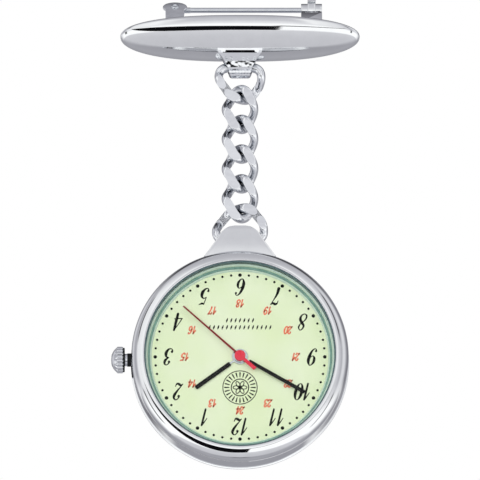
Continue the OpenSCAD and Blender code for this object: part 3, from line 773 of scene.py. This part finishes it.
def crown():
    """The fluted crown with a domed end, painted shade in its flutes and a black ring of painted shade at its back
    edge, and the tube behind it, with a black seal ring that also stands for the shaded gap there and a black band
    of painted shade in the undercut behind the head.
    """
    head_end, flutes, flute_depth = 19.6, 20, 0.15
    outer = fillet([(0, 0, 0), (0.75, 0.06, 0.8), (1.45, 0.4, 0.8), (1.85, 0.8, 0.2),
                    (2.03, 0.98, 0.12), (2.03, 1.7, 0.12), (1.86, 1.86, 0.06), (1.5, 1.88, 0.03),
                    (1.3, 1.5, 0.05), (1.05, 1.5, 0.02), (1.05, 0.8, 0), (0, 0.8, 0)], 5)
    points, faces = lathe(outer, flutes * 12)
    grooved = []
    for x, y, z in points:
        r = hypot(x, y)
        wave = (0.5 - 0.5 * cos(flutes * atan2(y, x))) ** 1.5
        depth = flute_depth * wave * max(0.0, min(1.0, (r - 1.78) / 0.16))
        scale = 1 - depth / r if r > 1.4 else 1
        grooved.append((x * scale, y * scale, z))
    # fluted_chrome paints shade into the hollows of the flutes.
    piece("crown", along_x((grooved, faces), -head_end), "crown_stem", "polished_chrome", CASE,
          ["crown"], 45, "fluted_chrome")
    # A black ring of painted shade at the head's back edge, standing for the shadow and dark reflection there.
    lip = lathe(fillet([(1.32, 1.78, 0), (1.86, 1.78, 0), (1.86, 2.06, 0.05), (1.32, 2.06, 0.05)]), 96)
    piece("crown_painted_shade_ring", along_x(lip, -head_end), "crown_stem", "seal_rubber", CASE, finish="painted_shade_black")
    tube = fillet([(0.42, 0, 0.03), (0.95, 0, 0.08), (0.95, 4.05, 0), (0.42, 4.05, 0)])
    piece("crown_tube", along_x(lathe(tube, 64), -18.6), "watch", "plain_steel", CASE, ["crown_tube"])
    # A black seal ring that also stands for the shaded gap by the tube, and a black band of painted shade in the
    # undercut behind the head.
    seal = lathe(fillet([(0.9, 0, 0), (1.02, 0, 0.05), (1.02, 0.62, 0.05), (0.9, 0.62, 0)]), 64)
    ring = joined(along_x(seal, -17.14), along_x(band(0.9, 1.25, 0, 0.1), -17.7))
    piece("crown_seal_and_shade_band", ring, "watch", "seal_rubber", CASE, finish="painted_shade_black")


# ---- Dial: numerals are pen strokes (x, y, width), in shares of the numeral's height ----

DIGITS = {
    "0": [[(0.25 + 0.2 * sin(a), 0.5 + 0.48 * cos(a), 0.035 + 0.11 * abs(sin(a)) ** 1.6)
           for a in [2 * pi * k / 16 for k in range(17)]]],
    "1": [[(0.04, 0.56, 0.02), (0.13, 0.74, 0.05), (0.27, 0.98, 0.07)],
          [(0.27, 0.97, 0.09), (0.27, 0.5, 0.1), (0.27, 0.02, 0.09)]],
    "2": [[(0.1, 0.76, 0.13), (0.09, 0.86, 0.06), (0.22, 0.98, 0.05), (0.38, 0.88, 0.1),
           (0.4, 0.7, 0.13), (0.28, 0.44, 0.09), (0.12, 0.2, 0.045), (0.03, 0.04, 0.04)],
          [(0.03, 0.05, 0.04), (0.14, 0.12, 0.1), (0.28, 0.05, 0.13), (0.41, 0.03, 0.08),
           (0.47, 0.18, 0.03)]],
    "3": [[(0.1, 0.79, 0.12), (0.11, 0.9, 0.05), (0.24, 0.98, 0.05), (0.37, 0.88, 0.1),
           (0.36, 0.68, 0.12), (0.18, 0.54, 0.035)],
          [(0.18, 0.54, 0.035), (0.36, 0.48, 0.1), (0.43, 0.27, 0.15), (0.33, 0.06, 0.09),
           (0.17, 0.02, 0.05), (0.06, 0.1, 0.06), (0.07, 0.2, 0.12)]],
    "4": [[(0.36, 0.98, 0.03), (0.16, 0.62, 0.04), (0.02, 0.3, 0.05)],
          [(0.01, 0.29, 0.05), (0.26, 0.29, 0.05), (0.5, 0.31, 0.05)],
          [(0.36, 0.98, 0.1), (0.36, 0.5, 0.13), (0.36, 0.01, 0.12)]],
    "5": [[(0.15, 0.95, 0.06), (0.28, 0.91, 0.1), (0.45, 0.98, 0.03)],
          [(0.15, 0.96, 0.04), (0.12, 0.76, 0.035), (0.09, 0.55, 0.03)],
          [(0.09, 0.54, 0.03), (0.25, 0.6, 0.06), (0.4, 0.48, 0.12), (0.41, 0.25, 0.15),
           (0.29, 0.06, 0.08), (0.14, 0.01, 0.05), (0.05, 0.1, 0.06), (0.06, 0.17, 0.11)]],
    "6": [[(0.42, 0.84, 0.11), (0.41, 0.93, 0.05), (0.3, 0.98, 0.045), (0.16, 0.84, 0.09),
           (0.07, 0.55, 0.14), (0.07, 0.25, 0.14), (0.18, 0.03, 0.06), (0.3, 0.02, 0.05),
           (0.42, 0.18, 0.11), (0.42, 0.4, 0.12), (0.31, 0.55, 0.05), (0.18, 0.5, 0.035),
           (0.09, 0.36, 0.04)]],
    "7": [[(0.04, 0.76, 0.025), (0.07, 0.9, 0.05), (0.1, 0.96, 0.04)],
          [(0.08, 0.92, 0.08), (0.2, 0.95, 0.12), (0.34, 0.89, 0.1), (0.47, 0.98, 0.03)],
          [(0.47, 0.97, 0.03), (0.34, 0.68, 0.05), (0.22, 0.36, 0.11), (0.19, 0.02, 0.15)]],
    "8": [[(0.4, 0.86, 0.06), (0.27, 0.98, 0.045), (0.13, 0.87, 0.07), (0.12, 0.7, 0.1),
           (0.27, 0.54, 0.14), (0.42, 0.34, 0.13), (0.41, 0.13, 0.08), (0.24, 0.02, 0.045),
           (0.07, 0.12, 0.08), (0.07, 0.32, 0.07), (0.22, 0.5, 0.04), (0.37, 0.64, 0.05),
           (0.41, 0.78, 0.08), (0.4, 0.86, 0.06)]],
}
DIGITS["9"] = [[(0.5 - x, 1 - y, w) for x, y, w in stroke] for stroke in DIGITS["6"]]
DIGIT_STEP = 0.5
SLANT = 0.24
DIAL_TOP = 1.9
INK = (DIAL_TOP - 0.01, DIAL_TOP + 0.02)


def smooth_stroke(stroke, steps=6):
    """A pen stroke's points, joined by a smooth curve."""
    out = []
    for i in range(len(stroke) - 1):
        p0, p1, p2 = stroke[max(0, i - 1)], stroke[i], stroke[i + 1]
        p3 = stroke[min(len(stroke) - 1, i + 2)]
        for k in range(steps):
            t = k / steps
            out.append(tuple(
                0.5 * (2 * b + (c - a) * t + (2 * a - 5 * b + 4 * c - d) * t * t
                       + (3 * b - a - 3 * c + d) * t ** 3) for a, b, c, d in zip(p0, p1, p2, p3)))
    return out + [tuple(stroke[-1])]


def pen(points, least=0.0):
    """A raised ribbon of ink along points (x, y, width), with round ends."""
    left, right = [], []
    for i, (x, y, w) in enumerate(points):
        ahead, back = points[min(i + 1, len(points) - 1)], points[max(i - 1, 0)]
        along = Vector((ahead[0] - back[0], ahead[1] - back[1])).normalized()
        half = max(w, least) / 2
        left.append((x - along.y * half, y + along.x * half))
        right.append((x + along.y * half, y - along.x * half))
    n = len(points)
    faces = []
    for i in range(n - 1):
        a, b, c, d = i, n + i, 2 * n + i, 3 * n + i
        faces += [[c, d, d + 1, c + 1], [a, a + 1, b + 1, b], [a, c, c + 1, a + 1], [b, b + 1, d + 1, d]]
    faces += [[0, n, 3 * n, 2 * n], [n - 1, 3 * n - 1, 4 * n - 1, 2 * n - 1]]
    ends = [dot(x, y, max(w, least) / 2, *INK, 12) for x, y, w in (points[0], points[-1])]
    return joined(([(x, y, z) for z in INK for x, y in left + right], faces), *ends)


def dot(x, y, r, z0, z1, sides=20):
    """A round printed dot with a softly domed top."""
    return shift(lathe([(0, z0), (r, z0), (r * 0.97, z1 - 0.2 * (z1 - z0)), (r * 0.8, z1), (0, z1)],
                       sides), x, y, 0)


def number(value, u, v, height, least, narrow, bold):
    """An italic number centred on the reader's place u to the right and v up."""
    text = str(value)
    shapes = []
    step = DIGIT_STEP * height * narrow
    start = u - (len(text) * step) / 2
    for i, digit in enumerate(text):
        for stroke in DIGITS[digit]:
            placed = [(start + i * step + (x * narrow + SLANT * (y - 0.5)) * height,
                       v + (y - 0.5) * height, w * bold * height) for x, y, w in stroke]
            shapes.append(pen(smooth_stroke(placed), least))
    return joined(*shapes)


def printed(name, shape, ink="numeral_black", slot="black_hand"):
    """A print on the dial, turned from the reader's view: the watch hangs upside-down."""
    piece(name, shape, "watch", slot, CASE @ Matrix.Rotation(pi, 4, "Z"), finish=ink)


def clock_place(hours, radius):
    """Where an hour lies, for the reader."""
    a = radians(30 * hours)
    return radius * sin(a), radius * cos(a)


def dial_print():
    """Hours, the 24-hour ring, the minute dots and a plain ring ornament."""
    hours = [number(h, *clock_place(h, 10.95), height=2.65, least=0.13, narrow=0.88, bold=1.2)
             for h in range(1, 13)]
    printed("hour_numerals", joined(*hours))
    small = [number(h + 12, *clock_place(h, 8.4), height=1.18, least=0.21, narrow=0.95, bold=1.5)
             for h in range(1, 13)]
    printed("small_numerals", joined(*small), "numeral_red", "red_hand")
    dots = [dot(*clock_place(m / 5, 12.88), 0.19 if m % 5 else 0.28, INK[0], INK[1] + 0.01)
            for m in range(60)]
    printed("minute_dots", joined(*dots))

    def fine_ring(r, width):
        return band(r - width / 2, r + width / 2, *INK, 96)

    for name, count, level in (("upper_studs", 15, -4.65), ("lower_studs", 7, -5.75)):
        places = [0.66 * (k - (count - 1) / 2) for k in range(count)]
        studs = [pen([(u - 0.1, level - 0.3, 0.1), (u, level, 0.26), (u + 0.1, level + 0.3, 0.1)])
                 for u in places]
        printed(name, joined(*studs))
    rays = [pen([(*turned(1.66, 0, 15 * k), 0.13), (*turned(2.3, 0, 15 * k), 0.22)])
            for k in range(24)]
    petals = []
    for k in range(6):
        outline = [(0.55 + 0.5 * cos(a), 0.26 * sin(a)) for a in [2 * pi * j / 20 for j in range(21)]]
        petals.append(pen([(*turned(x, y, 60 * k), 0.13) for x, y in outline]))
    rosette = joined(fine_ring(2.6, 0.13), fine_ring(1.32, 0.15), *rays, *petals)
    printed("ring_ornament", shift(rosette, 0, 4.8, 0))


# ---- Hands ----


def hand_place(z, angle):
    """A hand's own frame: +Y runs along the hand, away from the arbor."""
    return CASE @ Matrix.Translation((0, 0, z)) @ Matrix.Rotation(radians(180 - angle), 4, "Z")


def hand_angle(node):
    """The time that a hand's node shows, in degrees after 12, from where its far end lies."""
    centre = pivot("hour_turn")
    arms = [v.co / MM - centre for v in frame["nodes"][node].data.vertices]
    reach = max(p.length for p in arms)
    tip = sum((p for p in arms if p.length > 0.93 * reach), Vector())
    return degrees(atan2(-tip.x, -tip.z)) % 360


def baton(start, length, width):
    """A baton hand with rounded ends and edges."""
    outline = fillet([(-width / 2, start, 0.12), (width / 2, start, 0.12),
                      (width / 2, length, 0.2), (-width / 2, length, 0.2)], 4)
    return prism(outline, 0, 0.13, 0.05)


def hub(outer, bore, height):
    """A domed hub with a bore."""
    profile = fillet([(bore, 0, 0), (outer, 0, 0.02), (outer, height, 0.06), (bore, height, 0.02)])
    return lathe(profile, 64)


def hands():
    """Black batons on bright hubs, and a red second hand with a broad tail."""
    for node, body, z, start, length, width, outer, bore in (
            ("hour_hand", "hours", 2.1, 1.85, 8.35, 0.66, 1.2, 0.82),
            ("minute_hand", "minutes", 2.4, 1.55, 11.35, 0.57, 0.95, 0.52)):
        place = hand_place(z, hand_angle(node))
        piece(node, baton(start, length, width), body, "black_hand", place, [node])
        arm = block(-width * 0.2, width * 0.2, outer - 0.15, start + 0.2, 0.01, 0.12, 0.03)
        piece(f"{body}_hub", joined(hub(outer, bore, 0.14), arm), body, "plain_steel", place)
    place = hand_place(2.7, hand_angle("second_hand"))
    length, tail = 11.6, 3.1
    lance = prism([(-0.17, 0.3), (0.17, 0.3), (0.12, length), (-0.12, length)], 0.02, 0.12, 0.03)
    weight = prism(fillet([(-0.3, -tail, 0.06), (0.3, -tail, 0.06), (0.24, -0.4, 0), (-0.24, -0.4, 0)]),
                   0, 0.14, 0.04)
    boss = lathe(fillet([(0, 0, 0), (0.84, 0, 0.03), (0.84, 0.22, 0.1), (0.2, 0.27, 0.04),
                         (0.17, 0.2, 0.02), (0, 0.2, 0)], 4), 64)
    piece("second_hand", joined(weight, boss), "seconds", "red_hand", place, ["second_hand"])
    piece("second_lance", lance, "seconds", "red_hand", place, finish="lance_red")


bar()
bar_back()
bail()
hinge()
needle()
catch()
chain()
case_body()
lug_face()
bezel()
crystal()
rehaut()
case_back()
crown()
dial_print()
hands()

# ---- Studio ----


class Sky(Nodes):
    """Builds the light all round from azimuth and elevation, in degrees; azimuth 0 is in front."""

    def __init__(self, world):
        super().__init__(world)
        split = self.node("ShaderNodeSeparateXYZ")
        self.link(self.node("ShaderNodeTexCoord").outputs["Generated"], split.inputs["Vector"])
        x, y, z = (split.outputs[k] for k in "XYZ")
        self.up = self.times(self.maths("ARCSINE", z), 180 / pi)
        self.side = self.times(self.maths("ARCTAN2", x, self.times(y, -1.0)), 180 / pi)

    def maths(self, operation, a, b=None, clamp=False):
        made = self.node("ShaderNodeMath", {"operation": operation, "use_clamp": clamp})
        for socket, value in zip(made.inputs, (a, b)):
            if value is not None:
                self.link(value, socket)
        return made.outputs["Value"]

    def times(self, a, b):
        return self.maths("MULTIPLY", a, b)

    def smooth(self, value, low, high, to_low=0.0, to_high=1.0):
        """A soft step from one value to another."""
        return self.node("ShaderNodeMapRange", {"interpolation_type": "SMOOTHSTEP"}, value=value,
                         from_min=low, from_max=high, to_min=to_low, to_max=to_high).outputs["Result"]

    def between(self, value, a, b, c, d):
        """1 from b to c, falling softly to 0 at a and d."""
        return self.times(self.smooth(value, a, b), self.smooth(value, c, d, 1, 0))

    def ramp(self, angle, limit, stops):
        """Greys, faintly blue where they are dark, at angles from -limit to limit."""
        made = self.node("ShaderNodeValToRGB")
        elements = made.color_ramp.elements
        while len(elements) < len(stops):
            elements.new(0.5)
        for element, (at, grey) in zip(elements, stops):
            element.position = (at + limit) / (2 * limit)
            tint = 0.03 * max(0.0, 1 - grey)
            element.color = (grey * (1 - tint), grey * (1 - 1.4 * tint), grey * (1 + 3 * tint), 1)
        share = self.maths("ADD", self.maths("DIVIDE", angle, 2.0 * limit), 0.5)
        self.link(share, made.inputs["Fac"])
        return made.outputs["Color"]

    def mix(self, factor, a, b):
        """From colour a to colour b by a factor."""
        mix = self.node("ShaderNodeMix", {"data_type": "RGBA"}, factor=factor, a=a, b=b)
        return mix.outputs["Result"]


def tent(sky):
    """Pale walls in front, darker ones behind, and side walls at eye level."""
    front = sky.ramp(sky.up, 90, [
        (-90, 0.60), (-60, 0.65), (-44, 0.72), (-40, 1.15), (-17, 1.15), (-12, 1.02), (-6.5, 0.88),
        (-1, 0.84), (5, 0.79), (11, 0.70), (17, 0.665), (24, 0.68), (32, 0.63), (47, 0.60),
        (65, 0.52), (90, 0.43)])
    rear = sky.ramp(sky.up, 90, [
        (-90, 0.5), (-88, 0.46), (-86.5, 0.08), (-84.5, 0.08), (-82, 0.38), (-55, 0.42), (-16, 0.35),
        (-9, 0.36), (-5, 1.1), (7, 1.1), (12, 0.38), (16, 0.34), (27, 0.10), (38, 0.02), (60, 0.02),
        (76, 0.3), (90, 0.42)])
    flanks = sky.ramp(sky.side, 180, [
        (-180, 0.34), (-156, 0.16), (-140, 0.44), (-118, 0.72), (-100, 0.60), (-88, 0.44),
        (-72, 0.46), (-55, 0.92), (-20, 1.02), (-8, 0.70), (8, 0.68), (14, 1.0), (28, 0.88),
        (42, 0.70), (53, 0.50), (64, 0.80), (84, 0.78), (104, 0.42), (122, 0.22), (180, 0.34)])
    away = sky.maths("ABSOLUTE", sky.side)
    walls = sky.mix(sky.smooth(away, 75, 125), front, rear)
    eye_level = sky.between(sky.up, -12, 4, 38, 60)
    return sky.mix(sky.times(eye_level, sky.smooth(away, 6, 14)), walls, flanks)


def climb(sky, angle, start):
    """The elevation of a card's middle, which rises by 37 degrees up to an azimuth of 45."""
    rise = sky.maths("POWER", sky.maths("DIVIDE", angle, 45.0), 2.5)
    return rise, sky.maths("ADD", sky.times(rise, 37.0), start)


def black_card(sky):
    """A black card below the camera that climbs to the left, with a thin edge to the right."""
    left = sky.maths("MAXIMUM", sky.times(sky.side, -1.0), 0.0)
    rise, middle = climb(sky, left, -34.0)
    wider = sky.maths("ADD", sky.times(sky.maths("MINIMUM", left, 20.0), 0.17), 8.0)
    half = sky.times(sky.maths("SUBTRACT", 1.0, sky.maths("POWER", rise, 1.6), True), wider)
    inside = sky.maths("SUBTRACT", half, sky.maths("ABSOLUTE", sky.maths("SUBTRACT", sky.up, middle)))
    card = sky.times(sky.smooth(inside, -0.6, 0.6), sky.smooth(sky.side, 4.4, 5.6, 1, 0))
    _, edge_at = climb(sky, sky.maths("MAXIMUM", sky.side, 0.0), -25.0)
    off_edge = sky.maths("ABSOLUTE", sky.maths("SUBTRACT", sky.up, edge_at))
    thin = sky.times(sky.smooth(off_edge, 1.2, 2.2, 1, 0), sky.between(sky.side, 3, 5, 34, 42))
    return sky.maths("MAXIMUM", card, thin)


def dark_strips(sky):
    """A dark upright strip on each side, broken at eye level."""
    strips = sky.maths("ADD", sky.between(sky.side, 47, 49, 52, 54),
                       sky.between(sky.side, -68, -65, -58, -55))
    clear = sky.maths("SUBTRACT", 1.0, sky.between(sky.up, -7, -3, 18, 26))
    return sky.times(sky.times(strips, clear), sky.between(sky.up, -30, -26, 40, 46))


def studio_light():
    """The tent with its dark cards; the camera itself sees white behind the watch."""
    bpy.context.scene.world = bpy.data.worlds.new("studio")
    sky = Sky(bpy.context.scene.world)
    dark = sky.maths("MAXIMUM", black_card(sky), sky.times(dark_strips(sky), 0.85))
    around = sky.mix(dark, tent(sky), (0.004, 0.004, 0.005, 1))
    seen = sky.node("ShaderNodeLightPath").outputs["Is Camera Ray"]
    background = sky.node("ShaderNodeBackground")
    sky.link(sky.mix(seen, around, (1, 1, 1, 1)), background.inputs["Color"])
    sky.link(background.outputs["Background"], sky.node("ShaderNodeOutputWorld").inputs["Surface"])


def soft_lamp(name, place, size, watts, target):
    """A square soft box that lights matt surfaces and doesn't show in the chrome."""
    data = bpy.data.lights.new(name, "AREA")
    data.shape = "SQUARE"
    data.size = size
    data.energy = watts
    lamp = bpy.data.objects.new(name, data)
    lamp.location = place
    lamp.rotation_euler = (target - Vector(place)).to_track_quat("-Z", "Y").to_euler()
    lamp.visible_glossy = False
    bpy.context.scene.collection.objects.link(lamp)


def pale_floor(level):
    """A wide pale floor, far below the hanging watch."""
    half = 30
    mesh = bpy.data.meshes.new("floor")
    mesh.from_pydata([(-half, -half, level), (half, -half, level), (half, half, level),
                      (-half, half, level)], [], [[0, 1, 2, 3]])
    p = Paint("floor", (0.93, 0.93, 0.93), 0.0, 0.7)
    p.tint(p.noise(0.004), (0.92, 0.92, 0.925), (0.94, 0.94, 0.94))
    mesh.materials.append(p.material)
    floor = bpy.data.objects.new("floor", mesh)
    bpy.context.scene.collection.objects.link(floor)
    floor.visible_glossy = False


def camera():
    """Looks up at the hanging watch from a little below, through a long lens."""
    target = Vector((0.0, 0, -36.65)) * MM
    below, distance, width = radians(15.5), 1.35, 73.3 * MM
    data = bpy.data.cameras.new("camera")
    data.sensor_width = 36
    data.lens = data.sensor_width * distance / width
    data.clip_end = 100
    eye = bpy.data.objects.new("camera", data)
    eye.location = target + distance * Vector((0, -cos(below), -sin(below)))
    eye.rotation_euler = (target - eye.location).to_track_quat("-Z", "Y").to_euler()
    bpy.context.scene.collection.objects.link(eye)
    bpy.context.scene.camera = eye
    return target


target = camera()
studio_light()
soft_lamp("key", (-0.15, -0.70, -0.10), 0.4, 2.3, target)
soft_lamp("fill", (0.35, -0.60, 0.10), 0.5, 0.7, target)
soft_lamp("back_fill", (0.1, 0.8, 0.3), 0.7, 4.0, target)
pale_floor(-0.55)
bpy.context.scene.view_settings.view_transform = "Standard"
